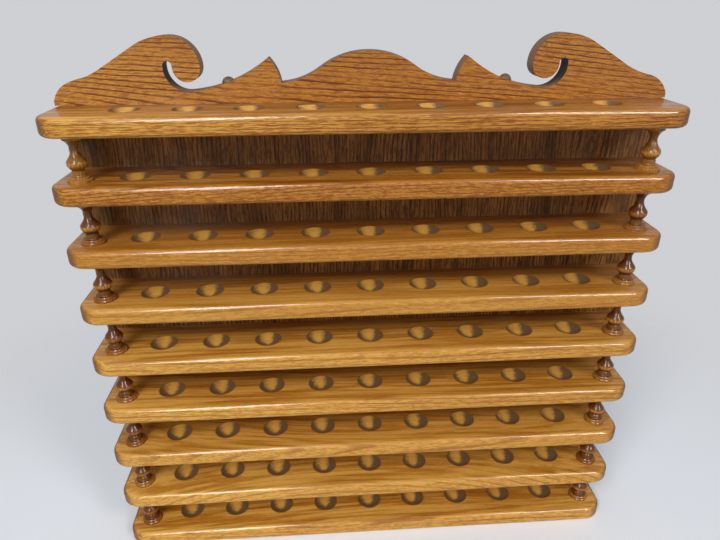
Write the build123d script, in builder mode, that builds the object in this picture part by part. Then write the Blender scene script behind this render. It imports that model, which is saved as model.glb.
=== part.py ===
"""Golf ball display shelf: nine oak shelves with dished ball seats, tied by turned
spindles in front and a panel behind, under a scroll-cut crest board.

Millimetres. +Z is up, -Y is the front, and the origin is the middle of the footprint.
"""
from build123d import *
import math
import os

os.makedirs("parts", exist_ok=True)

# Shelves
shelf_count = 9
shelf_width = 605.0
shelf_depth = 73.0
shelf_thickness = 19.0
shelf_pitch = 63.5
corner_radius = 22.0
arris_radius = 5.0

# Ball seats, one row on each shelf
seats_per_shelf = 9
seat_pitch = 57.5
seat_setback = 37.5
seat_rim_radius = 14.45
ball_radius = 21.335
ball_clearance = 0.3

# Back panel, behind the shelves and under the top one
panel_thickness = 9.5

# Spindles, turned, with a round tenon at each end
spindle_inset_x = 24.5
spindle_inset_y = 26.0
tenon_radius = 3.2
tenon_length = 6.5
tenon_clearance = 0.05
socket_spare_depth = 0.5
foot_radius = 11.8
foot_height = 2.8
step_radius = 9.7
step_height = 2.3
ring_chamfer = 0.8
cove_radius = 1.2
pedestal_radius = 6.3
pedestal_height = 9.8
groove_radius = 5.3
groove_height = 10.8
bulb_under_radius = 8.1
bulb_under_height = 13.6
bulb_radius = 9.4
bulb_height = 17.8
bulb_top_radius = 6.2
bulb_top_height = 23.2
neck_radius = 3.7
neck_height = 30.6
throat_radius = 4.9
throat_height = 35.2
cap_underside_radius = 7.8
cap_radius = 9.2
cap_height = 5.8
cap_flare_height = 1.0

# Crest board: heights are above the top shelf, distances are from the middle
crest_thickness = 19.0
crest_height = 62.0
crest_end_height = 4.0
shoulder_run = 22.8
shoulder_height = 23.0
shoulder_sag = 4.3
ogee_x = 252.0
ogee_height = 35.0
ogee_sag = 1.3
brow_x = 224.0
brow_height = 51.8
scroll_x = 190.0
scroll_radius = 28.7
curl_radius = 13.2
slot_width = 8.8
slot_rise = 1.8
fin_x = 96.8
fin_height = 41.6
valley_sag = 6.3
notch_x = 85.5
notch_height = 18.4
fin_sag = 2.0
wave_x = 48.5
wave_height = 31.3
wave_sag = 2.6
hump_height = 47.3
hump_sag = 4.2

# Round-headed pegs, down through the crest's valleys into the top shelf
peg_radius = 6.35
peg_clearance = 0.05
peg_x = 137.2
peg_top_height = 24.1
peg_seat_depth = 12.0

# Countersunk screws, in rows of three
screw_radius = 1.75
screw_head_radius = 3.5
screw_length = 32.0
screw_tip_length = 3.0
screw_clearance = 0.05
screw_angle = 90
screw_x = 240.0

# Values that follow from the ones above
top_shelf_depth = shelf_depth + panel_thickness
front_y = -top_shelf_depth / 2
back_y = top_shelf_depth / 2
panel_front_y = front_y + shelf_depth
panel_top_z = (shelf_count - 1) * shelf_pitch
rack_top_z = panel_top_z + shelf_thickness
gap_height = shelf_pitch - shelf_thickness
spindle_x = shelf_width / 2 - spindle_inset_x
spindle_y = front_y + spindle_inset_y
spindle_spots = [(-spindle_x, spindle_y), (spindle_x, spindle_y)]
socket_radius = tenon_radius + tenon_clearance
socket_depth = tenon_length + socket_spare_depth
seat_radius = ball_radius + ball_clearance
seat_rise = math.sqrt(seat_radius**2 - seat_rim_radius**2)
first_seat_x = -seat_pitch * (seats_per_shelf - 1) / 2
screw_spots_x = [-screw_x, 0, screw_x]
screwed_shelves = (1, (shelf_count + 1) // 2)
pilot_radius = screw_radius + screw_clearance
pilot_depth = screw_length - panel_thickness + screw_clearance
panel_middle_y = panel_front_y + panel_thickness / 2
top_pilot_depth = screw_length - shelf_thickness + screw_clearance
peg_bore_radius = peg_radius + peg_clearance
peg_y = back_y - crest_thickness / 2


def shelf_board(number):
    """One shelf, rounded at its front corners and along its front and end arrises."""
    is_top = number == shelf_count
    depth = top_shelf_depth if is_top else shelf_depth
    under_z = (number - 1) * shelf_pitch
    top_z = under_z + shelf_thickness
    with BuildPart() as board:
        with BuildSketch(Plane.XY.offset(under_z)):
            with Locations((0, front_y)):
                Rectangle(shelf_width, depth, align=(Align.CENTER, Align.MIN))
            fillet(vertices().group_by(Axis.Y)[0], corner_radius)
        extrude(amount=shelf_thickness)
        rims = edges().filter_by(Plane.XY)
        back_edges = edges().filter_by(Axis.X).group_by(Axis.Y)[-1]
        fillet([edge for edge in rims if edge not in back_edges], arris_radius)

        # A dished seat for each ball, cut with the ball's own curve
        for seat in range(seats_per_shelf):
            with Locations((first_seat_x + seat * seat_pitch, front_y + seat_setback, top_z + seat_rise)):
                Sphere(seat_radius, rotation=(90, 0, 0), mode=Mode.SUBTRACT)

        # Sockets for the spindles that stand on the board and those that carry it
        if not is_top:
            with BuildSketch(Plane.XY.offset(top_z)):
                with Locations(*spindle_spots):
                    Circle(socket_radius)
            extrude(amount=-socket_depth, mode=Mode.SUBTRACT)
        if number > 1:
            with BuildSketch(Plane.XY.offset(under_z)):
                with Locations(*spindle_spots):
                    Circle(socket_radius)
            extrude(amount=socket_depth, mode=Mode.SUBTRACT)

        if is_top:
            # Screws go down into the panel, and the pegs of the crest end in blind holes
            with Locations(*[(x, panel_middle_y, top_z) for x in screw_spots_x]):
                CounterSinkHole(
                    pilot_radius,
                    screw_head_radius + screw_clearance,
                    depth=shelf_thickness,
                    counter_sink_angle=screw_angle,
                )
            with BuildSketch(Plane.XY.offset(top_z)):
                with Locations((-peg_x, peg_y), (peg_x, peg_y)):
                    Circle(peg_bore_radius)
            extrude(amount=-peg_seat_depth, mode=Mode.SUBTRACT)
        elif number in screwed_shelves:
            with BuildSketch(Plane.XZ.offset(-panel_front_y)):
                with Locations(*[(x, under_z + shelf_thickness / 2) for x in screw_spots_x]):
                    Circle(pilot_radius)
            extrude(amount=pilot_depth, mode=Mode.SUBTRACT)
    return board.part


# Nine shelves, counted from the floor up
for number in range(1, shelf_count + 1):
    board = shelf_board(number)
    board.label = f"shelf_{number}"
    export_step(board, f"parts/shelf_{number}.step")

# Planes on the panel's rear face, each level with the middle of a screwed shelf
screw_planes = []
for number in screwed_shelves:
    height = (number - 1) * shelf_pitch + shelf_thickness / 2
    screw_planes.append(Plane(origin=(0, back_y, height), x_dir=(-1, 0, 0), z_dir=(0, 1, 0)))

# Back panel, with countersunk holes from behind and blind holes in its top edge
with BuildPart() as back_panel:
    with BuildSketch(Plane.XY):
        with Locations((0, panel_front_y)):
            Rectangle(shelf_width, panel_thickness, align=(Align.CENTER, Align.MIN))
    extrude(amount=panel_top_z)
    for rear_plane in screw_planes:
        with Locations(rear_plane):
            with Locations(*[(x, 0) for x in screw_spots_x]):
                CounterSinkHole(
                    pilot_radius,
                    screw_head_radius + screw_clearance,
                    depth=panel_thickness,
                    counter_sink_angle=screw_angle,
                )
    with BuildSketch(Plane.XY.offset(panel_top_z)):
        with Locations(*[(x, panel_middle_y) for x in screw_spots_x]):
            Circle(pilot_radius)
    extrude(amount=-top_pilot_depth, mode=Mode.SUBTRACT)
back_panel.part.label = "back_panel"
export_step(back_panel.part, "parts/back_panel.step")

# Spindle turning: tenon, foot ring, step ring, pedestal, groove, vase bulb, neck, cap and tenon
step_top_z = foot_height + step_height
cap_under_z = gap_height - cap_height
with BuildPart() as turning:
    with BuildSketch(Plane.XZ):
        with BuildLine():
            Polyline(
                (0, -tenon_length),
                (tenon_radius, -tenon_length),
                (tenon_radius, 0),
                (foot_radius, 0),
                (foot_radius, foot_height - ring_chamfer),
                (foot_radius - ring_chamfer, foot_height),
                (step_radius, foot_height),
                (step_radius, step_top_z - ring_chamfer),
                (step_radius - ring_chamfer, step_top_z),
                (pedestal_radius + cove_radius, step_top_z),
            )
            CenterArc((pedestal_radius + cove_radius, step_top_z + cove_radius), cove_radius, 180, 90)
            Polyline(
                (pedestal_radius, step_top_z + cove_radius),
                (pedestal_radius, pedestal_height),
                (groove_radius, groove_height),
            )
            Spline(
                (groove_radius, groove_height),
                (bulb_under_radius, bulb_under_height),
                (bulb_radius, bulb_height),
                (bulb_top_radius, bulb_top_height),
                (neck_radius, neck_height),
                (throat_radius, throat_height),
                (cap_underside_radius, cap_under_z),
            )
            Polyline(
                (cap_underside_radius, cap_under_z),
                (cap_radius, cap_under_z + cap_flare_height),
                (cap_radius, gap_height),
                (tenon_radius, gap_height),
                (tenon_radius, gap_height + tenon_length),
                (0, gap_height + tenon_length),
                (0, -tenon_length),
            )
        make_face()
    revolve(axis=Axis.Z)

# A spindle at each front corner of every gap, counted from the floor up
for number in range(1, shelf_count):
    for side, (x, y) in zip(("left", "right"), spindle_spots):
        with BuildPart() as spindle:
            with Locations((x, y, (number - 1) * shelf_pitch + shelf_thickness)):
                add(turning.part)
        spindle.part.label = f"spindle_{side}_{number}"
        export_step(spindle.part, f"parts/spindle_{side}_{number}.step")

# Crest board: scrolls, slots, fins and a middle hump, sawn from one board
curl_x = scroll_x - scroll_radius + curl_radius
curl_z = crest_height - scroll_radius
slot_end_z = curl_z + slot_rise
valley_z = curl_z - curl_radius - slot_width
crest_half = shelf_width / 2
crest_plane = Plane(origin=(0, back_y, rack_top_z), x_dir=(1, 0, 0), z_dir=(0, -1, 0))
with BuildPart() as crest_board:
    with BuildSketch(crest_plane):
        with BuildLine():
            Line((0, 0), (crest_half, 0))
            Line((crest_half, 0), (crest_half, crest_end_height))
            SagittaArc(
                (crest_half, crest_end_height),
                (crest_half - shoulder_run, shoulder_height),
                -shoulder_sag,
            )
            SagittaArc((crest_half - shoulder_run, shoulder_height), (ogee_x, ogee_height), ogee_sag)
            Line((ogee_x, ogee_height), (brow_x, brow_height))
            TangentArc((scroll_x, crest_height), (brow_x, brow_height), tangent=(1, 0))
            CenterArc((scroll_x, curl_z), scroll_radius, 90, 90)
            CenterArc((curl_x, curl_z), curl_radius, 180, 180)
            Line((curl_x + curl_radius, curl_z), (curl_x + curl_radius, slot_end_z))
            CenterArc((curl_x + curl_radius + slot_width / 2, slot_end_z), slot_width / 2, 0, 180)
            Line((curl_x + curl_radius + slot_width, slot_end_z), (curl_x + curl_radius + slot_width, curl_z))
            CenterArc((curl_x, curl_z), curl_radius + slot_width, 270, 90)
            SagittaArc((curl_x, valley_z), (fin_x, fin_height), valley_sag)
            SagittaArc((fin_x, fin_height), (notch_x, notch_height), -fin_sag)
            SagittaArc((notch_x, notch_height), (wave_x, wave_height), wave_sag)
            SagittaArc((wave_x, wave_height), (0, hump_height), -hump_sag)
            Line((0, hump_height), (0, 0))
        make_face()
        mirror(about=Plane.YZ)
    extrude(amount=crest_thickness)
    with BuildSketch(Plane.XY.offset(rack_top_z)):
        with Locations((-peg_x, peg_y), (peg_x, peg_y)):
            Circle(peg_bore_radius)
    extrude(amount=peg_top_height, mode=Mode.SUBTRACT)
crest_board.part.label = "crest_board"
export_step(crest_board.part, "parts/crest_board.step")

# Pegs with domed heads
dome_z = peg_top_height - peg_radius
for side, x in (("left", -peg_x), ("right", peg_x)):
    with BuildPart() as peg:
        with BuildSketch(Plane(origin=(x, peg_y, rack_top_z), x_dir=(1, 0, 0), z_dir=(0, -1, 0))):
            with BuildLine():
                Line((0, -peg_seat_depth), (peg_radius, -peg_seat_depth))
                Line((peg_radius, -peg_seat_depth), (peg_radius, dome_z))
                CenterArc((0, dome_z), peg_radius, 0, 90)
                Line((0, peg_top_height), (0, -peg_seat_depth))
            make_face()
        revolve(axis=Axis((x, peg_y, 0), (0, 0, 1)))
    peg.part.label = f"crest_peg_{side}"
    export_step(peg.part, f"parts/crest_peg_{side}.step")

# Screw with a countersunk head, point downwards
head_depth = (screw_head_radius - screw_radius) / math.tan(math.radians(screw_angle / 2))
with BuildPart() as screw:
    with BuildSketch(Plane.XZ):
        with BuildLine():
            Polyline(
                (0, 0),
                (screw_head_radius, 0),
                (screw_radius, -head_depth),
                (screw_radius, -screw_length + screw_tip_length),
                (0, -screw_length),
                close=True,
            )
        make_face()
    revolve(axis=Axis.Z)

# Rows of screws through the panel into the back edges of the screwed shelves
with BuildPart() as panel_screws:
    for rear_plane in screw_planes:
        with Locations(rear_plane):
            with Locations(*[(x, 0) for x in screw_spots_x]):
                add(screw.part)
panel_screws.part.label = "panel_screws"
export_step(panel_screws.part, "parts/panel_screws.step")

# A row of screws down through the top shelf into the panel, hidden by the crest
with BuildPart() as top_screws:
    with Locations(*[(x, panel_middle_y, rack_top_z) for x in screw_spots_x]):
        add(screw.part)
top_screws.part.label = "top_screws"
export_step(top_screws.part, "parts/top_screws.step")
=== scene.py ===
"""Finishes, screw heads and a pale studio for a golf ball display shelf in varnished oak."""
import math
from collections import namedtuple

import bmesh
import bpy
from bpy.props import FloatProperty, FloatVectorProperty, PointerProperty
from mathutils import Euler, Matrix, Vector


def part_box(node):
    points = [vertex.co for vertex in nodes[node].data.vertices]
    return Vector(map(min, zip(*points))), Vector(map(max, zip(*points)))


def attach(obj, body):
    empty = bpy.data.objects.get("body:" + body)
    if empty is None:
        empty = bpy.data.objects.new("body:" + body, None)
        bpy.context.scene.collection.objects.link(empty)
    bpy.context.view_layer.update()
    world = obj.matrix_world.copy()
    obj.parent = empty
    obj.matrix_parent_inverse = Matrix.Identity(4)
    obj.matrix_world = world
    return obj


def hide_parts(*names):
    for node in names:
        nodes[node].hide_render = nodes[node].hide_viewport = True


bl_info = {
    "name": "Golf ball display shelf",
    "version": (1, 0, 0),
    "blender": (4, 5, 0),
    "location": "View3D > Sidebar > Display shelf",
    "description": "Oak finishes, screw heads and a studio for a golf ball display shelf",
    "category": "Object",
}

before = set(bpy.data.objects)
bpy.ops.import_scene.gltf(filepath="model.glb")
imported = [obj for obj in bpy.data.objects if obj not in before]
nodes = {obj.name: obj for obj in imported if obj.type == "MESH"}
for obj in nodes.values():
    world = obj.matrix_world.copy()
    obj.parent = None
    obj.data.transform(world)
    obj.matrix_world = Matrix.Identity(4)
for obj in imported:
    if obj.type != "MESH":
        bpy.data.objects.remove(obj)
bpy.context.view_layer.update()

# Seats in a shelf's top face, in metres
SEAT_PITCH = 0.0575
SEAT_LINE_Y = -0.00375
SEAT_RIM = 0.01445

# Spans in metres over which a seat's finish fades: outwards past its rim, down from the board's top and
# past its floor, and then those of its stained rim: from the inside, to the outside and downwards
SEAT_EDGE = (-0.0002, 0.0004)
SEAT_TOP = (0.00005, 0.0003)
SEAT_FLOOR = (0.006, 0.007)
RIM_INSIDE = (-0.0008, 0.0)
RIM_OUTSIDE = (0.0004, 0.0014)
RIM_BELOW = (0.0005, 0.0010)

# What darkens a seat's wall: painted shade for its steepness and for its lying in front and on the right,
# darker end grain at a side, and chance, and the sums over which the painted shade shows
STEEP_SHADE = 0.30
FRONT_SHADE = 0.30
SIDE_END_GRAIN = 0.24
RIGHT_SHADE = 0.16
WALL_CHANCE = 0.20
WALL_SHADE_SHOWS = (0.01, 0.18)

# What a seat's wall darkened by painted shade adds to a shelf's roughness, what a clean seat adds to its
# clear coat, and what its end grain takes from that
SHADED_WALL_ROUGHNESS = 0.20
SEAT_COAT = 0.50
END_COAT = 0.22

# Upper end of the crest's slots, in metres from the middle and above the top shelf, how far from it the
# painted shade deep in the slots fades, and what a sawn edge adds to the roughness
SLOT_X = 0.1921
SLOT_RISE = 0.035
SLOT_SHADE_FADE = (0.011, 0.024)
SAWN_ROUGHNESS = 0.22

# Heights in metres over which the spindles turn golden, so that only those under the top shelf are
GOLDEN_HEIGHT = (0.455, 0.462)

# Radii in metres over which a spindle's hollows end, its slopes end and its foot ring begins
HOLLOW_ENDS = (0.0058, 0.0088)
SLOPE_ENDS = (0.0088, 0.0098)
FOOT_BEGINS = (0.0094, 0.0100)

# How dark a spindle's slopes (stain and painted shade), hollows (painted shade) and foot ring (stain) get,
# and what a golden one keeps off
SLOPE_STAIN_AND_SHADE = 0.90
HOLLOW_SHADE = 0.75
FOOT_STAIN = 0.35
GOLDEN_CLEAR = 0.40

# Parts of a face's normal over which it comes to count as a top, an end or a front, and as a spindle's
# upper or lower slope
TOP_FACE = (0.60, 0.90)
END_FACE = (0.15, 0.75)
FRONT_FACE = (0.30, 0.80)
UPPER_SLOPE = (0.10, 0.45)
LOWER_SLOPE = (0.28, 0.58)

# From front to back where painted shade makes a shelf darker, in metres
SHADED_BACK_SPAN = (-0.030, 0.030)

# From left to right where the painted shade on the panel's left end fades and how far its grain waves, in
# metres, and how much its stripes and lines show
SHADED_LEFT_END = (-0.285, -0.240)
WAVE_REACH = 0.016
STRIPE_SHARE = 0.44
LINE_SHARE = 0.35

# How much the pegs' pores and spring wood show
PEG_PORES = 0.7
PEG_BAND = 0.2

# What dull plating adds to the screws' roughness
DULL_ROUGHNESS = 0.16

# A year's growth: where its spring wood begins and ends, as shares of the year, and how much of the band
# a poor year keeps
SPRING_BEGINS = (0.0, 0.05)
SPRING_ENDS = (0.14, 0.38)
POOR_YEAR = 0.24

# What long pores, short pores and spring wood add to the pores, and the sums over which pores show
LONG_PORES = 0.66
SHORT_PORES = 0.34
SPRING_PORES = 0.12
PORES_SHOW = (0.46, 0.58)

# How much a top face shows streaks in place of pores, and how strong they are
TOP_STREAKS = 0.75
STREAK_STRENGTH = 1.5

# Strength of the rings in the crest, and in a shelf for the strength of its lines
CREST_RINGS = 0.90
SHELF_RINGS = 0.45

# How a tree strays from its line: features to the metre, detail and reach in metres. The ripples are the
# same in every log, and the sways grow with its cut's sway
SWAYS = (((2.4, 9.0, 9.0), 1.0, 0.026), ((11.0, 60.0, 60.0), 2.0, 0.0036))
RIPPLES = ((60.0, 260.0, 260.0), 2.0, 0.0007)

# Heights under the varnish, as shares of the relief: open pores, spring wood and what sanding left
PORE_HEIGHT = -0.8
SPRING_HEIGHT = -0.3
SANDING_HEIGHT = 1.5

# How far left and right of the middle a board's two tones lie, in metres
TONE_REACH = 0.25

# Metres of log from one shelf's board to the next, and how far the crest's pith lies behind and under it
LOG_STEP = 0.9
CREST_PITH_BEHIND = 0.080
CREST_PITH_UNDER = 0.030

# How a board lies in its log: where it starts along the log, the pith's place, the board's turn,
# the log's bend (1/m), a year's growth, how much it sways and how many pores follow along a metre
Cut = namedtuple("Cut", "start pith turn bend year sway pores")

# A shelf's board: the pith's y and its depth under the board, the board's turn about Y and Z in degrees,
# the log's bend, a year's growth, sway, pores to the metre, tone on the left and on the right,
# strength of its lines, and how much painted shade darkens its back
Board = namedtuple("Board", "pith_y under roll yaw bend year sway pores left right lines soil")

SHELVES = {
    1: Board(0.075, 0.045, 0.5, -2.2, 0.1, 0.0040, 0.9, 80, 0.80, 0.76, 0.74, 0.28),
    2: Board(-0.105, 0.040, -0.6, 2.5, 0.4, 0.0074, 0.9, 80, 1.00, 0.76, 0.62, 0.28),
    3: Board(0.070, 0.030, 0.8, 4.2, -0.3, 0.0066, 0.9, 84, 0.74, 0.46, 0.62, 0.28),
    4: Board(-0.085, 0.045, -0.8, 1.2, 0.0, 0.0050, 0.6, 84, 0.82, 0.56, 0.68, 0.28),
    5: Board(0.085, 0.064, 0.6, -1.0, 0.1, 0.0044, 0.6, 84, 0.98, 0.68, 0.66, 0.28),
    6: Board(0.110, 0.060, 0.4, 0.8, 0.0, 0.0056, 0.5, 90, 0.56, 0.40, 0.52, 0.28),
    7: Board(-0.095, 0.070, -0.5, -0.9, 0.0, 0.0034, 0.5, 95, 0.26, 0.10, 0.58, 0.28),
    8: Board(0.030, 0.085, 1.1, 1.4, 0.1, 0.0028, 0.5, 110, 0.14, 0.00, 0.95, 0.36),
    9: Board(-0.010, 0.110, 0.3, 0.5, 0.0, 0.0034, 0.4, 60, 0.68, 0.05, 1.00, 0.66),
}

# Where the screws' heads lie on the panel's back, x and z in metres, and how far each is turned, in degrees
SCREW_SPOTS = (
    (-0.240, 0.0095, 12), (0.0, 0.0095, 47), (0.240, 0.0095, 71),
    (-0.240, 0.2635, 33), (0.0, 0.2635, 5), (0.240, 0.2635, 58),
)

# A screw's recess floor as a share of its mouth, its point as a share of its shank, and how near to a
# corner of the head, in metres, a cut snaps to it
RECESS_FLOOR = 0.62
SCREW_POINT = 0.05
CORNER_NEAR = 0.00006

# Rays that see the surroundings at their full tone
SEEING_RAYS = ("Is Camera Ray", "Is Glossy Ray", "Is Transmission Ray")

# Where the floor starts to fade and where it is gone, as shares of its radius
FLOOR_FADE = (0.35, 0.95)

# A soft lamp: the setting with its power, its place, its width and length, and whether the rack only
# gleams in its light; all lamps point at the rack's middle
Lamp = namedtuple("Lamp", "name power place width length gleams")

LAMPS = (
    Lamp("lamp_left", "left_lamp", (-1.50, -2.60, 2.80), 1.6, 1.4, False),
    Lamp("lamp_right", "right_lamp", (2.20, -2.40, 2.70), 0.9, 1.3, False),
    Lamp("gleam_left", "left_gleam", (-0.555, -1.60, 1.90), 0.45, 2.10, True),
    Lamp("gleam_right", "right_gleam", (0.98, -1.13, 1.49), 0.14, 1.50, True),
)
RACK_MIDDLE = Vector((0.0, -0.04, 0.30))

# Camera's place in metres, and how far it is turned down, to the right and about its own line, in radians
CAMERA_PLACE = (-0.04879, -0.56881, 0.62451)
CAMERA_PITCH = 0.4442
CAMERA_YAW = 0.0661
CAMERA_ROLL = -0.0025


def colour(name, description, default):
    """A colour that a user may change."""
    return FloatVectorProperty(
        name=name, description=description, default=default, subtype="COLOR", size=3, min=0.0, max=1.0
    )


def amount(name, description, default):
    """A share or strength that a user may change."""
    return FloatProperty(
        name=name, description=description, default=default, min=0.0, max=1.0, subtype="FACTOR"
    )


def distance(name, description, default):
    """A length that a user may change."""
    return FloatProperty(name=name, description=description, default=default, unit="LENGTH")


def power(name, description, default):
    """A lamp's power that a user may change."""
    return FloatProperty(name=name, description=description, default=default, unit="POWER")


class BoardOak(bpy.types.PropertyGroup):
    """Golden varnished oak of the shelves and the crest."""

    pale: colour("Pale wood", "Wood of a pale board", (0.740, 0.400, 0.076))
    deep: colour("Deep wood", "Wood of a redder board", (0.470, 0.184, 0.020))
    fleck: colour("Flecks", "Short bright flecks in the summer wood", (0.850, 0.550, 0.170))
    band: colour("Pore band", "What the spring wood leaves of the light", (0.300, 0.150, 0.110))
    pore: colour("Pores", "What the stained pores leave of the light", (0.590, 0.410, 0.170))
    end: colour("End grain", "Wood cut across the grain", (0.135, 0.034, 0.004))
    sawn: colour("Sawn edge", "Grey-brown edge that the fret saw left", (0.200, 0.125, 0.082))
    # Colour of the painted shade deep in the crest's slots
    slot_shade: colour("Shaded slot", "Edge that the saw burnt in the tight slots", (0.030, 0.018, 0.010))
    # Colour of a seat's wall under painted shade, and of the darker end grain of its sides
    seat: colour("Seat wall", "Shaded wall of a ball seat", (0.092, 0.055, 0.036))
    gloss: amount("Varnish roughness", "Roughness of the varnish", 0.30)
    dull: amount("Pore roughness", "What open pores add to the roughness", 0.14)
    coat: amount("Clear coat", "Strength of the varnish's clear coat", 0.35)
    relief: distance("Relief", "Depth of the open pores", 0.00018)


class PanelOak(bpy.types.PropertyGroup):
    """Dark straight-grained oak of the back panel."""

    pale: colour("Pale wood", "Wood between the pore bands", (0.530, 0.238, 0.062))
    band: colour("Pore band", "Spring wood, which takes most of the stain", (0.112, 0.045, 0.010))
    pore: colour("Pores", "Open pores, filled with stain", (0.022, 0.009, 0.003))
    gloss: amount("Varnish roughness", "Roughness of the varnish", 0.36)
    dull: amount("Pore roughness", "What open pores add to the roughness", 0.10)
    coat: amount("Clear coat", "Strength of the varnish's clear coat", 0.10)
    relief: distance("Relief", "Depth of the open pores", 0.00018)


class TurnedOak(bpy.types.PropertyGroup):
    """Reddish-brown oak of the turned spindles."""

    pale: colour("Pale wood", "Swells of a golden spindle", (0.520, 0.235, 0.040))
    deep: colour("Deep wood", "Swells of a redder spindle", (0.360, 0.130, 0.022))
    band: colour("Pore band", "Spring wood, which takes most of the stain", (0.150, 0.045, 0.008))
    pore: colour("Pores", "Open pores, filled with stain", (0.060, 0.018, 0.005))
    # Colour of the slopes' stain and painted shade, and of the painted shade in the hollows
    end: colour("End grain", "Slopes and hollows, which take most of the stain", (0.115, 0.034, 0.008))
    gloss: amount("Varnish roughness", "Roughness of the varnish", 0.26)
    dull: amount("Pore roughness", "What open pores add to the roughness", 0.08)
    coat: amount("Clear coat", "Strength of the varnish's clear coat", 0.25)
    relief: distance("Relief", "Depth of the open pores", 0.00006)


class PegWood(bpy.types.PropertyGroup):
    """Grey-brown wood of the crest's pegs."""

    pale: colour("Pale wood", "Wood between the pores", (0.230, 0.130, 0.065))
    pore: colour("Pores", "Open pores", (0.075, 0.040, 0.020))
    gloss: amount("Varnish roughness", "Roughness of the varnish", 0.38)
    dull: amount("Pore roughness", "What open pores add to the roughness", 0.10)
    coat: amount("Clear coat", "Strength of the varnish's clear coat", 0.0)
    relief: distance("Relief", "Depth of the open pores", 0.0001)


class ScrewSteel(bpy.types.PropertyGroup):
    """Zinc-plated steel of the screws."""

    bright: colour("Plating", "Clean plating", (0.62, 0.61, 0.58))
    dull: colour("Dull plating", "Plating gone dull", (0.38, 0.36, 0.32))
    gloss: amount("Roughness", "Roughness of the plating", 0.34)
    head_radius: distance("Head radius", "Radius of the countersunk head", 0.0035)
    shank_radius: distance("Shank radius", "Radius of the shank", 0.00175)
    length: distance("Length", "Length with the head", 0.032)
    tip_length: distance("Tip length", "Length of the pointed tip", 0.003)
    recess_width: distance("Recess width", "Width of the cross recess", 0.0009)
    recess_reach: distance("Recess reach", "How far the cross reaches from the middle", 0.0019)
    recess_depth: distance("Recess depth", "Depth of the cross recess", 0.0013)
    edge: distance("Edge", "Roundness of the head's edge", 0.00012)


class Studio(bpy.types.PropertyGroup):
    """Floor, surroundings, lamps and camera."""

    floor: colour("Floor", "Pale floor", (0.885, 0.920, 0.970))
    air: colour("Surroundings", "Pale surroundings", (0.618, 0.628, 0.650))
    fill: amount("Fill", "Strength of the light from the surroundings", 0.45)
    floor_radius: distance("Floor radius", "Radius of the floor, which fades out towards its edge", 1.0)
    left_lamp: power("Left lamp", "Soft window light from the left", 95.0)
    right_lamp: power("Right lamp", "Soft lamp light from the right", 42.0)
    left_gleam: power("Left gleam", "What the varnish mirrors of the window", 100.0)
    right_gleam: power("Right gleam", "What the varnish mirrors of the lamp", 46.0)
    lens: FloatProperty(
        name="Lens", description="Focal length on a 36 mm wide sensor", default=29.159, unit="CAMERA"
    )


class Signal:
    """A shader socket, written in sums as Python where it carries a number."""

    def __init__(self, recipe, socket):
        self.recipe = recipe
        self.socket = socket

    def _math(self, operation, *terms):
        return self.recipe.node("ShaderNodeMath", {"operation": operation}, dict(enumerate(terms)))

    def __add__(self, other):
        return self._math("ADD", self, other)

    def __sub__(self, other):
        return self._math("SUBTRACT", self, other)

    def __rsub__(self, other):
        return self._math("SUBTRACT", other, self)

    def __mul__(self, other):
        return self._math("MULTIPLY", self, other)

    def __truediv__(self, other):
        return self._math("DIVIDE", self, other)

    def __neg__(self):
        return self._math("MULTIPLY", self, -1.0)

    def __abs__(self):
        return self._math("ABSOLUTE", self)

    __radd__ = __add__
    __rmul__ = __mul__

    def part(self):
        """What is left of the number above its whole part."""
        return self._math("FRACT", self)

    def root(self):
        return self._math("SQRT", self)

    def rises(self, low, high):
        """0 up to low, 1 from high on, and a smooth climb between."""
        return self.recipe.node(
            "ShaderNodeMapRange",
            {"interpolation_type": "SMOOTHSTEP"},
            {"Value": self, "From Min": low, "From Max": high},
        )

    def falls(self, low, high):
        """1 up to low, 0 from high on, and a smooth drop between."""
        return 1 - self.rises(low, high)


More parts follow.
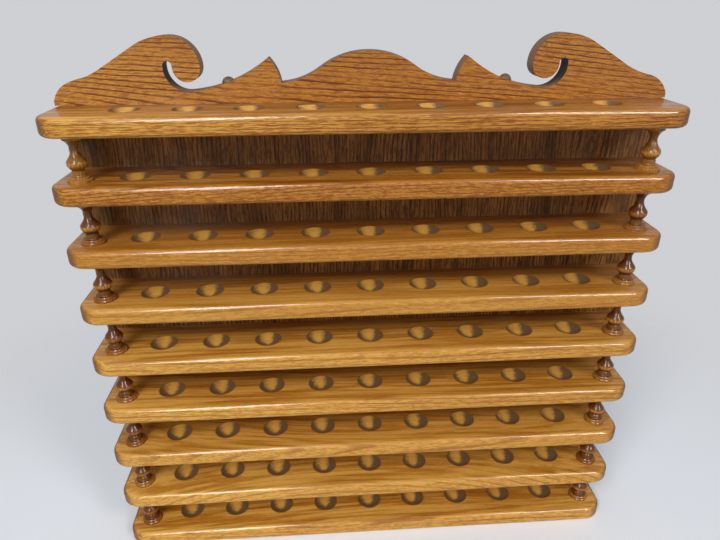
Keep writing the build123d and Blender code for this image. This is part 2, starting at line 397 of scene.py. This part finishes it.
class Recipe:
    """A shader that is built one node at a time."""

    def __init__(self, owner):
        owner.use_nodes = True
        self.tree = owner.node_tree
        self.tree.nodes.clear()

    def node(self, kind, settings=None, sockets=None, output=0):
        """Adds a node of any type, first its settings and then its sockets' values or links."""
        made = self.tree.nodes.new(kind)
        for name, value in (settings or {}).items():
            setattr(made, name, value)
        for key, value in (sockets or {}).items():
            if isinstance(value, Signal):
                self.tree.links.new(value.socket, made.inputs[key])
            elif made.inputs[key].type == "RGBA":
                made.inputs[key].default_value = (*value[:3], 1.0)
            else:
                made.inputs[key].default_value = value
        return Signal(self, made.outputs[output]) if made.outputs else None

    def place(self):
        return self.node("ShaderNodeTexCoord", output="Object")

    def facing(self):
        return self.node("ShaderNodeTexCoord", output="Normal")

    def axes(self, vector):
        """The three numbers of a vector."""
        return [self.node("ShaderNodeSeparateXYZ", None, {0: vector}, axis) for axis in range(3)]

    def stretch(self, vector, factors):
        return self.node("ShaderNodeVectorMath", {"operation": "MULTIPLY"}, {0: vector, 1: factors})

    def moved(self, vector, drift, reach):
        """A place moved by a drift times its reach along each axis."""
        sockets = {0: drift, 1: reach, 2: vector}
        return self.node("ShaderNodeVectorMath", {"operation": "MULTIPLY_ADD"}, sockets)

    def length(self, vector):
        return self.node("ShaderNodeVectorMath", {"operation": "LENGTH"}, {0: vector}, "Value")

    def noise(self, vector, per_metre, detail=2.0, roughness=0.5, output=0):
        """Noise with so many features to the metre along each axis."""
        sockets = {
            "Vector": self.stretch(vector, per_metre),
            "Scale": 1.0,
            "Detail": detail,
            "Roughness": roughness,
        }
        return self.node("ShaderNodeTexNoise", None, sockets, output)

    def tint(self, share, first, second):
        """The first colour, and the second where share is 1."""
        return self.node("ShaderNodeMix", {"data_type": "RGBA"}, {0: share, 6: first, 7: second}, 2)

    def stained(self, wood, *stains):
        """Wood under its stains, each given as where it lies, how strong it is and its colour."""
        for mask, strength, stain in stains:
            wood = self.tint(mask * strength, wood, stain)
        return wood

    def darkened(self, wood, share, leaves):
        """Wood that keeps only so much of its red, green and blue where share is 1."""
        return self.tint(share, wood, self.stretch(wood, leaves))

    def surface(self, shader):
        self.node("ShaderNodeOutputMaterial", None, {"Surface": shader})


def new_material(name):
    """An empty material and the recipe that fills it."""
    material = bpy.data.materials.new(name)
    return material, Recipe(material)


def either(*masks):
    """Where any of the masks shows."""
    return 1 - math.prod(1 - mask for mask in masks)


def log_place(recipe, cut):
    """A point's place in its log: x along the pith, y and z out from it, swayed as trees grow."""
    turn = Euler(cut.turn)
    shift = Vector((cut.start, 0.0, 0.0)) - turn.to_matrix() @ Vector(cut.pith)
    straight = recipe.node(
        "ShaderNodeMapping",
        None,
        {"Vector": recipe.place(), "Rotation": turn, "Location": shift},
    )
    along = recipe.axes(straight)[0] - cut.start
    curve = along * along * cut.bend
    bow = recipe.node("ShaderNodeCombineXYZ", None, {"Y": curve, "Z": curve})
    place = recipe.node("ShaderNodeVectorMath", {"operation": "ADD"}, {0: straight, 1: bow})
    sways = [(per_metre, detail, reach * cut.sway) for per_metre, detail, reach in SWAYS]
    for per_metre, detail, reach in (*sways, RIPPLES):
        drift = recipe.noise(straight, per_metre, detail, output="Color")
        place = recipe.moved(place, drift, (0.0, reach, reach))
    return place


def grain(recipe, log, cut):
    """Oak's pore bands and its pores, at a place in its log."""
    season = (recipe.length(recipe.stretch(log, (0.0, 1.0, 1.0))) / cut.year).part()
    vigour = recipe.noise(log, (12.0, 90.0, 90.0)).rises(0.34, 0.62) * (1 - POOR_YEAR) + POOR_YEAR
    band = season.rises(*SPRING_BEGINS) * season.falls(*SPRING_ENDS) * vigour
    dashes = recipe.noise(log, (cut.pores, 720.0, 720.0), roughness=0.6)
    fine = recipe.noise(log, (cut.pores * 2.5, 1300.0, 1300.0), roughness=0.6)
    pores = (dashes * LONG_PORES + fine * SHORT_PORES + band * SPRING_PORES).rises(*PORES_SHOW)
    return band, pores


def varnished(recipe, settings, wood, roughness, height, coat):
    """Varnished wood with open pores."""
    bump = recipe.node(
        "ShaderNodeBump",
        None,
        {"Strength": 0.6, "Distance": settings.relief, "Height": height},
    )
    recipe.surface(
        recipe.node(
            "ShaderNodeBsdfPrincipled",
            None,
            {
                "Base Color": wood,
                "Roughness": roughness,
                "IOR": 1.5,
                "Specular IOR Level": 0.12,
                "Normal": bump,
                "Coat Weight": coat,
                "Coat Roughness": 0.11,
            },
        )
    )


def ball_seats(recipe, top):
    """A shelf's seats, the painted shade on their walls, mostly on the right and in front, with their
    sides' darker end grain, and their rims.
    """
    x, y, z = recipe.axes(recipe.place())
    across, outward, _ = recipe.axes(recipe.facing())
    aside = ((x / SEAT_PITCH + 0.5).part() - 0.5) * SEAT_PITCH
    ahead = y - SEAT_LINE_Y
    beyond = (aside * aside + ahead * ahead).root() - SEAT_RIM
    depth = top - z
    inside = beyond.falls(*SEAT_EDGE) * depth.rises(*SEAT_TOP) * depth.falls(*SEAT_FLOOR)
    steep = (across * across + outward * outward).root()
    patches = recipe.noise(recipe.place(), (260.0, 330.0, 330.0), detail=3.0, roughness=0.6)
    # Painted shade on the seat's steep, near and right walls, with the darker end grain of its sides
    painted_shade = steep * STEEP_SHADE + outward * FRONT_SHADE + abs(across) * SIDE_END_GRAIN
    painted_shade = painted_shade - across * RIGHT_SHADE + (patches - 0.5) * WALL_CHANCE
    rim = beyond.rises(*RIM_INSIDE) * beyond.falls(*RIM_OUTSIDE) * depth.falls(*RIM_BELOW)
    return inside, inside * painted_shade.rises(*WALL_SHADE_SHOWS), rim


def slot_shade_mask(recipe, foot):
    """How near a point of the crest is to the tight end of a slot, where shade is painted."""
    x, _, z = recipe.axes(recipe.place())
    aside = abs(x) - SLOT_X
    above = z - (foot + SLOT_RISE)
    return (aside * aside + above * above).root().falls(*SLOT_SHADE_FADE)


def board_oak(name, settings, cut, tones, lines, rings):
    """A board's material and recipe, and its golden wood, its roughness and the height of its grain."""
    material, recipe = new_material(name)
    log = log_place(recipe, cut)
    band, pores = grain(recipe, log, cut)
    flecks = recipe.noise(log, (cut.pores * 2.0, 700.0, 620.0), roughness=0.6).rises(0.54, 0.70)
    streaks = recipe.noise(log, (7.0, 110.0, 110.0), detail=3.0, roughness=0.55).rises(0.42, 0.62)
    drift = recipe.noise(log, (2.2, 22.0, 22.0)) - 0.5
    left, right = tones
    slant = (right - left) / (2 * TONE_REACH)
    tone = (recipe.axes(recipe.place())[0] + TONE_REACH) * slant + left
    flat = recipe.axes(recipe.facing())[2].rises(*TOP_FACE) * TOP_STREAKS
    wood = recipe.tint(drift + tone, settings.deep, settings.pale)
    wood = recipe.stained(wood, (flecks, 0.22, settings.fleck))
    open_grain = pores * (1 - flat) + streaks * flat * STREAK_STRENGTH
    wood = recipe.darkened(wood, open_grain * lines, settings.pore)
    wood = recipe.darkened(wood, band * rings, settings.band)
    roughness = pores * settings.dull + settings.gloss
    sanding = recipe.noise(recipe.place(), (38.0, 60.0, 60.0), detail=1.0)
    height = pores * PORE_HEIGHT + band * SPRING_HEIGHT + sanding * SANDING_HEIGHT
    return material, recipe, wood, roughness, height


def shelf_oak(name, settings, cut, board, top):
    """Golden oak of a shelf, with end grain and ball seats; top is the height of its upper face."""
    tones = (board.left, board.right)
    material, recipe, wood, roughness, height = board_oak(
        name, settings, cut, tones, board.lines, SHELF_RINGS * board.lines
    )
    across = recipe.axes(recipe.facing())[0]
    inside, painted_shade, rim = ball_seats(recipe, top)
    cross_cut = abs(across).rises(*END_FACE) * (1 - inside)
    shaded_back = recipe.axes(recipe.place())[1].rises(*SHADED_BACK_SPAN)
    wood = recipe.stained(
        wood,
        (cross_cut, 0.88, settings.end),
        # Painted shade towards the back of a shelf, under the shelf or crest above it
        (shaded_back, board.soil, settings.end),
        # Painted light: the seats' insides are made paler, as if lit on their floors
        (inside, 0.72, settings.pale),
        (rim, 0.35, settings.end),
        # The seats' walls: painted shade, with the darker end grain of their sides
        (painted_shade, 0.88, settings.seat),
    )
    roughness = roughness + painted_shade * SHADED_WALL_ROUGHNESS
    coat = (inside - painted_shade) * SEAT_COAT - cross_cut * END_COAT + settings.coat
    varnished(recipe, settings, wood, roughness, height * (1 - inside), coat)
    return material


def crest_oak(name, settings, cut, tones, lines, foot):
    """Golden oak of the crest, with sawn edges and painted shade deep in its slots; foot is the height it
    stands on.
    """
    material, recipe, wood, roughness, height = board_oak(name, settings, cut, tones, lines, CREST_RINGS)
    edge = abs(recipe.axes(recipe.facing())[1]).falls(*FRONT_FACE)
    # Painted shade at the tight ends of the slots, where no light comes through from behind
    painted_shade = edge * slot_shade_mask(recipe, foot)
    wood = recipe.stained(wood, (edge, 0.80, settings.sawn), (painted_shade, 0.95, settings.slot_shade))
    roughness = roughness + edge * SAWN_ROUGHNESS
    varnished(recipe, settings, wood, roughness, height, (1 - edge) * settings.coat)
    return material


def panel_oak(name, settings, cut):
    """Dark oak with fine upright lines, broad darker stripes and painted shade at its left end."""
    material, recipe = new_material(name)
    band, pores = grain(recipe, log_place(recipe, cut), cut)
    waves = recipe.noise(recipe.place(), (24.0, 24.0, 17.0), output="Color")
    place = recipe.moved(recipe.place(), waves, (WAVE_REACH, 0.0, 0.0))
    stripes = recipe.noise(place, (62.0, 62.0, 4.0), roughness=0.6).rises(0.42, 0.62)
    lines = recipe.noise(place, (420.0, 420.0, 14.0), detail=3.0, roughness=0.6).rises(0.44, 0.62)
    shaded = recipe.axes(place)[0].falls(*SHADED_LEFT_END)
    wood = recipe.tint(stripes * STRIPE_SHARE + lines * LINE_SHARE, settings.pale, settings.band)
    wood = recipe.stained(
        wood,
        # Painted shade at the panel's left end
        (shaded, 0.60, settings.pore),
        (band, 0.60, settings.pore),
        (pores, 0.55, settings.pore),
    )
    roughness = pores * settings.dull + settings.gloss
    varnished(recipe, settings, wood, roughness, pores * PORE_HEIGHT, settings.coat)
    return material


def turned_oak(name, settings, cut, axis_x, axis_y):
    """Oak of the spindles, golden on the swells, darker on the slopes with stain and painted shade, and
    with painted shade in the hollows.
    """
    material, recipe = new_material(name)
    band, pores = grain(recipe, log_place(recipe, cut), cut)
    place = recipe.place()
    x, y, z = recipe.axes(place)
    aside = abs(x) - axis_x
    ahead = y - axis_y
    radius = (aside * aside + ahead * ahead).root()
    golden = z.rises(*GOLDEN_HEIGHT)
    piece_tone = recipe.noise(place, (4.0, 4.0, 17.0), detail=0.0).rises(0.40, 0.60)
    wood = recipe.tint(piece_tone + golden, settings.deep, settings.pale)
    wood = recipe.stained(wood, (band, 0.40, settings.band), (pores, 0.40, settings.pore))
    upward = recipe.axes(recipe.facing())[2]
    # Darker slopes: the end grain's stain, and painted shade on the undersides; painted shade in the
    # hollows
    slope = either(upward.rises(*UPPER_SLOPE), (-upward).rises(*LOWER_SLOPE))
    slope = slope * radius.falls(*SLOPE_ENDS)
    hollow_shade = radius.falls(*HOLLOW_ENDS)
    foot = radius.rises(*FOOT_BEGINS)
    dark = either(slope * SLOPE_STAIN_AND_SHADE, hollow_shade * HOLLOW_SHADE, foot * FOOT_STAIN)
    wood = recipe.stained(wood, (dark, 1 - golden * GOLDEN_CLEAR, settings.end))
    roughness = pores * settings.dull + settings.gloss
    varnished(recipe, settings, wood, roughness, pores * PORE_HEIGHT, settings.coat)
    return material


def peg_wood(name, settings, cut):
    """Grey-brown wood with fine pores."""
    material, recipe = new_material(name)
    band, pores = grain(recipe, log_place(recipe, cut), cut)
    wood = recipe.tint(pores * PEG_PORES + band * PEG_BAND, settings.pale, settings.pore)
    roughness = pores * settings.dull + settings.gloss
    varnished(recipe, settings, wood, roughness, pores * PORE_HEIGHT, settings.coat)
    return material


def screw_steel(name, settings):
    """Plated steel, dull in patches and finely scratched."""
    material, recipe = new_material(name)
    place = recipe.place()
    patches = recipe.noise(place, (260.0, 260.0, 260.0), detail=3.0).rises(0.42, 0.62)
    scratches = recipe.noise(place, (900.0, 900.0, 5200.0))
    bump = recipe.node("ShaderNodeBump", None, {"Strength": 0.3, "Distance": 0.0001, "Height": scratches})
    recipe.surface(
        recipe.node(
            "ShaderNodeBsdfPrincipled",
            None,
            {
                "Base Color": recipe.tint(patches, settings.bright, settings.dull),
                "Metallic": 1.0,
                "Roughness": patches * DULL_ROUGHNESS + settings.gloss,
                "Normal": bump,
            },
        )
    )
    return material


def dress(name, material):
    """Gives a CAD node its finish."""
    slots = nodes[name].data.materials
    slots.clear()
    slots.append(material)


def new_piece(name, mesh, material):
    """Makes a finished bmesh an object at the origin."""
    data = bpy.data.meshes.new(name)
    bmesh.ops.recalc_face_normals(mesh, faces=mesh.faces)
    mesh.to_mesh(data)
    mesh.free()
    data.materials.append(material)
    piece = bpy.data.objects.new(name, data)
    bpy.context.scene.collection.objects.link(piece)
    return piece


class DISPLAY_SHELF_OT_shelves(bpy.types.Operator):
    """Finish the nine shelves, each as a board of its own"""

    bl_idname = "display_shelf.shelves"
    bl_label = "Finish the shelves"

    def execute(self, context):
        settings = context.scene.display_shelf_board
        for number, board in SHELVES.items():
            node = f"shelf_{number}"
            low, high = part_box(node)
            turn = (0.0, math.radians(board.roll), math.radians(board.yaw))
            pith = (0.0, board.pith_y, low.z - board.under)
            cut = Cut(LOG_STEP * number, pith, turn, board.bend, board.year, board.sway, board.pores)
            dress(node, shelf_oak(f"oak_{node}", settings, cut, board, high.z))
        return {"FINISHED"}


class DISPLAY_SHELF_OT_crest(bpy.types.Operator):
    """Finish the crest board, sawn from a wide flat board"""

    bl_idname = "display_shelf.crest"
    bl_label = "Finish the crest board"

    def execute(self, context):
        settings = context.scene.display_shelf_board
        low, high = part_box("crest_board")
        turn = (0.0, math.radians(-2.5), math.radians(-1.5))
        pith = (0.0, high.y + CREST_PITH_BEHIND, low.z - CREST_PITH_UNDER)
        cut = Cut(start=0.4, pith=pith, turn=turn, bend=0.12, year=0.0034, sway=1.1, pores=90)
        material = crest_oak(
            "oak_crest_board", settings, cut, tones=(0.12, -0.10), lines=0.80, foot=low.z
        )
        dress("crest_board", material)
        return {"FINISHED"}


class DISPLAY_SHELF_OT_panel(bpy.types.Operator):
    """Finish the back panel, its grain upright"""

    bl_idname = "display_shelf.panel"
    bl_label = "Finish the back panel"

    def execute(self, context):
        turn = (0.0, math.radians(90), 0.0)
        cut = Cut(start=0.7, pith=(-0.62, 0.16, 0.0), turn=turn, bend=0.0, year=0.0042, sway=1.6, pores=70)
        dress("back_panel", panel_oak("oak_back_panel", context.scene.display_shelf_panel, cut))
        return {"FINISHED"}


class DISPLAY_SHELF_OT_spindles(bpy.types.Operator):
    """Finish the sixteen turned spindles"""

    bl_idname = "display_shelf.spindles"
    bl_label = "Finish the spindles"

    def execute(self, context):
        settings = context.scene.display_shelf_turned
        turn = (0.0, math.radians(90), math.radians(1.5))
        cut = Cut(start=0.2, pith=(0.9, 0.085, 0.0), turn=turn, bend=0.0, year=0.0026, sway=0.5, pores=90)
        low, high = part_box("spindle_right_1")
        middle = (low + high) / 2
        material = turned_oak("oak_spindles", settings, cut, middle.x, middle.y)
        for name in nodes:
            if name.startswith("spindle_"):
                dress(name, material)
        return {"FINISHED"}


class DISPLAY_SHELF_OT_pegs(bpy.types.Operator):
    """Finish the crest's two pegs"""

    bl_idname = "display_shelf.pegs"
    bl_label = "Finish the pegs"

    def execute(self, context):
        turn = (0.0, math.radians(90), 0.0)
        cut = Cut(start=0.1, pith=(0.3, 0.07, 0.0), turn=turn, bend=0.0, year=0.0022, sway=0.5, pores=90)
        material = peg_wood("wood_pegs", context.scene.display_shelf_peg, cut)
        for side in ("left", "right"):
            dress(f"crest_peg_{side}", material)
        return {"FINISHED"}


def countersunk_screw(settings):
    """A screw with a cross recess, its head's top at the origin and its point below."""
    mesh = bmesh.new()
    disc = bmesh.ops.create_circle(mesh, cap_ends=True, segments=32, radius=settings.head_radius)
    verts = disc["verts"]
    face = verts[0].link_faces[0]
    half_slot = settings.recess_width / 2
    reach = settings.recess_reach
    geometry = [*verts, *face.edges, face]
    for direction in (Vector((1, 0, 0)), Vector((0, 1, 0))):
        for away in (-reach, -half_slot, half_slot, reach):
            cut = bmesh.ops.bisect_plane(
                mesh, geom=geometry, dist=CORNER_NEAR, plane_co=direction * away, plane_no=direction
            )
            geometry = cut["geom"]
    top = [part for part in geometry if isinstance(part, bmesh.types.BMFace)]
    cross = []
    for part in top:
        x, y, _ = map(abs, part.calc_center_median())
        if max(x, y) < reach and min(x, y) < half_slot:
            cross.append(part)
    rim = [edge for part in top for edge in part.edges if edge.is_boundary]
    sunk = bmesh.ops.extrude_face_region(mesh, geom=cross)["geom"]
    bmesh.ops.delete(mesh, geom=cross, context="FACES")
    floor_verts = [part for part in sunk if isinstance(part, bmesh.types.BMVert)]
    bmesh.ops.scale(mesh, vec=(RECESS_FLOOR, RECESS_FLOOR, 1.0), verts=floor_verts)
    bmesh.ops.translate(mesh, vec=(0.0, 0.0, -settings.recess_depth), verts=floor_verts)
    taper = settings.head_radius - settings.shank_radius
    shank = settings.length - settings.tip_length
    steps = (
        (settings.shank_radius / settings.head_radius, -taper),
        (1.0, taper - shank),
        (SCREW_POINT, -settings.tip_length),
    )
    edges = rim
    for share, drop in steps:
        drawn = bmesh.ops.extrude_edge_only(mesh, edges=edges)["geom"]
        edges = [part for part in drawn if isinstance(part, bmesh.types.BMEdge)]
        ring = [part for part in drawn if isinstance(part, bmesh.types.BMVert)]
        bmesh.ops.scale(mesh, vec=(share, share, 1.0), verts=ring)
        bmesh.ops.translate(mesh, vec=(0.0, 0.0, drop), verts=ring)
    bmesh.ops.contextual_create(mesh, geom=edges)
    bmesh.ops.bevel(
        mesh, geom=rim, offset=settings.edge, segments=2, profile=0.5, affect="EDGES", material=-1
    )
    screw = bpy.data.meshes.new("screw")
    mesh.to_mesh(screw)
    mesh.free()
    return screw


class DISPLAY_SHELF_OT_screws(bpy.types.Operator):
    """Finish the screws, and make the ones that show on the panel's back with cross recesses"""

    bl_idname = "display_shelf.screws"
    bl_label = "Make the screws"

    def execute(self, context):
        settings = context.scene.display_shelf_screw
        material = screw_steel("steel_screws", settings)
        for name in ("panel_screws", "top_screws"):
            dress(name, material)
        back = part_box("back_panel")[1].y
        lying = Matrix.Rotation(math.radians(-90), 4, "X")
        screw = countersunk_screw(settings)
        mesh = bmesh.new()
        for x, z, turned in SCREW_SPOTS:
            driven = screw.copy()
            stand = lying @ Matrix.Rotation(math.radians(turned), 4, "Z")
            driven.transform(Matrix.Translation((x, back, z)) @ stand)
            mesh.from_mesh(driven)
            bpy.data.meshes.remove(driven)
        bpy.data.meshes.remove(screw)
        piece = new_piece("cross_recess_screws", mesh, material)
        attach(piece, "root")
        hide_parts("panel_screws")
        return {"FINISHED"}


def floor_material(settings):
    """Pale floor that keeps shadows and fades into its surroundings further out."""
    material, recipe = new_material("pale_floor")
    starts, ends = (share * settings.floor_radius for share in FLOOR_FADE)
    far = recipe.length(recipe.place()).rises(starts, ends)
    near = recipe.node("ShaderNodeBsdfDiffuse", None, {"Color": settings.floor})
    clear = recipe.node("ShaderNodeBsdfTransparent")
    recipe.surface(recipe.node("ShaderNodeMixShader", None, {0: far, 1: near, 2: clear}))
    return material


def pale_air(settings):
    """A world whose full tone is seen, while only its fill lights the rack."""
    world = bpy.data.worlds.new("pale_air")
    recipe = Recipe(world)
    seen = sum(recipe.node("ShaderNodeLightPath", output=ray) for ray in SEEING_RAYS)
    strength = seen * (1 - settings.fill) + settings.fill
    air = recipe.node("ShaderNodeBackground", None, {"Color": settings.air, "Strength": strength})
    recipe.node("ShaderNodeOutputWorld", None, {"Surface": air})
    return world


def soft_lamp(lamp, watts):
    """A rectangular lamp that points at the rack, and either lights it or only gleams on it."""
    data = bpy.data.lights.new(lamp.name, "AREA")
    data.shape = "RECTANGLE"
    data.size = lamp.width
    data.size_y = lamp.length
    data.energy = watts
    made = bpy.data.objects.new(lamp.name, data)
    made.location = lamp.place
    made.rotation_euler = (RACK_MIDDLE - Vector(lamp.place)).to_track_quat("-Z", "Y").to_euler()
    made.visible_camera = False
    made.visible_diffuse = not lamp.gleams
    made.visible_glossy = lamp.gleams
    return made


def rack_camera(settings):
    """A camera in front of the rack and above it, looking down on it."""
    data = bpy.data.cameras.new("camera")
    data.sensor_fit = "HORIZONTAL"
    data.sensor_width = 36.0
    data.lens = settings.lens
    data.clip_start = 0.02
    forward = math.cos(CAMERA_PITCH)
    ahead = Vector(
        (math.sin(CAMERA_YAW) * forward, math.cos(CAMERA_YAW) * forward, -math.sin(CAMERA_PITCH))
    )
    level = Vector((math.cos(CAMERA_YAW), -math.sin(CAMERA_YAW), 0.0))
    rise = level.cross(ahead)
    across = math.cos(CAMERA_ROLL) * level + math.sin(CAMERA_ROLL) * rise
    upward = math.cos(CAMERA_ROLL) * rise - math.sin(CAMERA_ROLL) * level
    turn = Matrix((across, upward, -ahead)).transposed()
    camera = bpy.data.objects.new("camera", data)
    camera.matrix_world = Matrix.Translation(CAMERA_PLACE) @ turn.to_4x4()
    return camera


class DISPLAY_SHELF_OT_studio(bpy.types.Operator):
    """Make the floor, the pale surroundings, the lamps and the camera"""

    bl_idname = "display_shelf.studio"
    bl_label = "Make the studio"

    def execute(self, context):
        scene = context.scene
        settings = scene.display_shelf_studio
        disc = bmesh.new()
        bmesh.ops.create_circle(disc, cap_ends=True, segments=96, radius=settings.floor_radius)
        floor = new_piece("floor", disc, floor_material(settings))
        scene.world = pale_air(settings)
        for lamp in LAMPS:
            scene.collection.objects.link(soft_lamp(lamp, getattr(settings, lamp.power)))
        scene.camera = rack_camera(settings)
        scene.collection.objects.link(scene.camera)
        scene.view_settings.view_transform = "Standard"
        return {"FINISHED"}


class DISPLAY_SHELF_PT_panel(bpy.types.Panel):
    """The steps that finish the display shelf"""

    bl_idname = "DISPLAY_SHELF_PT_panel"
    bl_label = "Golf ball display shelf"
    bl_space_type = "VIEW_3D"
    bl_region_type = "UI"
    bl_category = "Display shelf"

    def draw(self, context):
        for operator, group in STEPS:
            box = self.layout.box()
            box.operator(operator.bl_idname)
            settings = getattr(context.scene, group)
            for name in settings.__annotations__:
                box.prop(settings, name)


# Each step with the settings that it reads
STEPS = (
    (DISPLAY_SHELF_OT_shelves, "display_shelf_board"),
    (DISPLAY_SHELF_OT_crest, "display_shelf_board"),
    (DISPLAY_SHELF_OT_panel, "display_shelf_panel"),
    (DISPLAY_SHELF_OT_spindles, "display_shelf_turned"),
    (DISPLAY_SHELF_OT_pegs, "display_shelf_peg"),
    (DISPLAY_SHELF_OT_screws, "display_shelf_screw"),
    (DISPLAY_SHELF_OT_studio, "display_shelf_studio"),
)

GROUPS = {
    "display_shelf_board": BoardOak,
    "display_shelf_panel": PanelOak,
    "display_shelf_turned": TurnedOak,
    "display_shelf_peg": PegWood,
    "display_shelf_screw": ScrewSteel,
    "display_shelf_studio": Studio,
}


def register():
    for name, group in GROUPS.items():
        bpy.utils.register_class(group)
        setattr(bpy.types.Scene, name, PointerProperty(type=group))
    for operator, _ in STEPS:
        bpy.utils.register_class(operator)
    bpy.utils.register_class(DISPLAY_SHELF_PT_panel)


def unregister():
    bpy.utils.unregister_class(DISPLAY_SHELF_PT_panel)
    for operator, _ in STEPS:
        bpy.utils.unregister_class(operator)
    for name, group in GROUPS.items():
        delattr(bpy.types.Scene, name)
        bpy.utils.unregister_class(group)


def main():
    register()
    bpy.ops.display_shelf.shelves()
    bpy.ops.display_shelf.crest()
    bpy.ops.display_shelf.panel()
    bpy.ops.display_shelf.spindles()
    bpy.ops.display_shelf.pegs()
    bpy.ops.display_shelf.screws()
    bpy.ops.display_shelf.studio()


if __name__ == "__main__":
    main()
